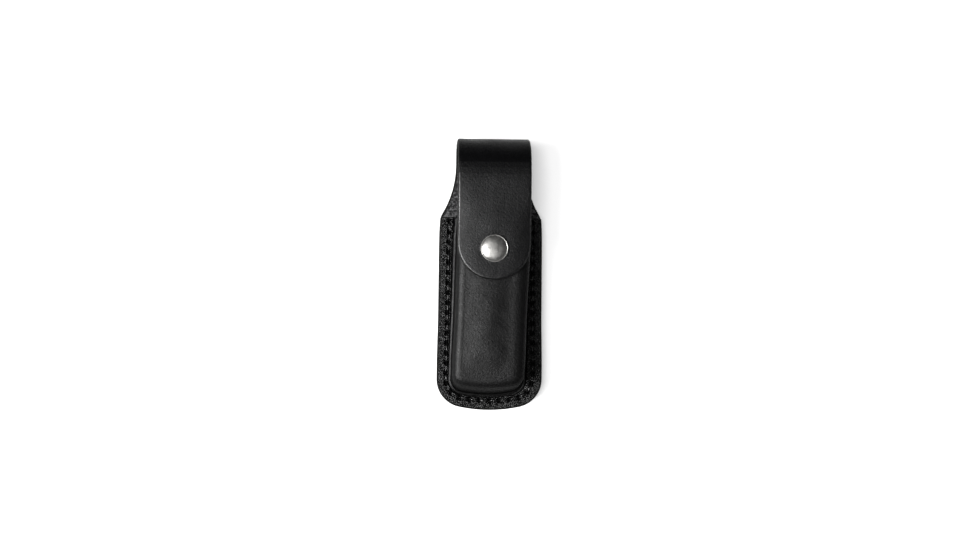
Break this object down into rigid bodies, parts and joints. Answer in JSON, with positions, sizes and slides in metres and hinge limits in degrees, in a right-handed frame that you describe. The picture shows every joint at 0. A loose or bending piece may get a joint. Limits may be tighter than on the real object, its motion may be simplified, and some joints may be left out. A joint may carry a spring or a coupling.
{
  "type": "multi tool belt case",
  "caption": "Black leather belt case for a folding multi tool: moulded pocket with a stitched margin, folded top, flap closed by a domed snap, and a belt loop behind.",
  "frame": {"origin": "middle of the case's outline, on the surface that it lies on, which touches the belt loop", "axes": "+X to the right seen from the front, +Y up the case towards the folded top, +Z out of the front of the case"},
  "size_m": [0.0502, 0.1274, 0.0383],
  "materials": {
    "blank_leather": "semi-gloss black, smooth grain outside and rough flesh side inside",
    "front_leather": "semi-gloss black, wet-moulded, fine grain",
    "loop_leather": "semi-gloss black, fine grain",
    "thread": "waxed black thread",
    "cap_metal": "polished nickel plate, lightly worn",
    "snap_metal": "nickel plate",
    "post_metal": "plain brass",
    "spring_metal": "drawn wire"
  },
  "bodies": {
    "case": {"back_panel": "blank_leather", "front_panel": "front_leather", "belt_loop": "loop_leather", "seam_needle_thread": "thread", "seam_bobbin_thread": "thread", "loop_upper_outer_thread": "thread", "loop_upper_inner_thread": "thread", "loop_lower_outer_thread": "thread", "loop_lower_inner_thread": "thread", "snap_stud": "snap_metal", "stud_rivet": "post_metal"},
    "flap_top": {"flap_crown": "blank_leather"},
    "flap": {"flap_front": "blank_leather", "snap_cap": "cap_metal", "cap_post": "post_metal", "snap_socket": "snap_metal", "socket_spring": "spring_metal"}
  },
  "joints": [
    {"name": "top_fold", "type": "hinge", "parent": "case", "child": "flap_top", "pos_m": [0, 0.06111, 0.00964], "axis": [-1, 0, 0], "range_deg": [0, 110]},
    {"name": "flap_fold", "type": "hinge", "parent": "flap_top", "child": "flap", "pos_m": [0, 0.06012, 0.03247], "axis": [-1, 0, 0], "range_deg": [0, 70]}
  ]
}
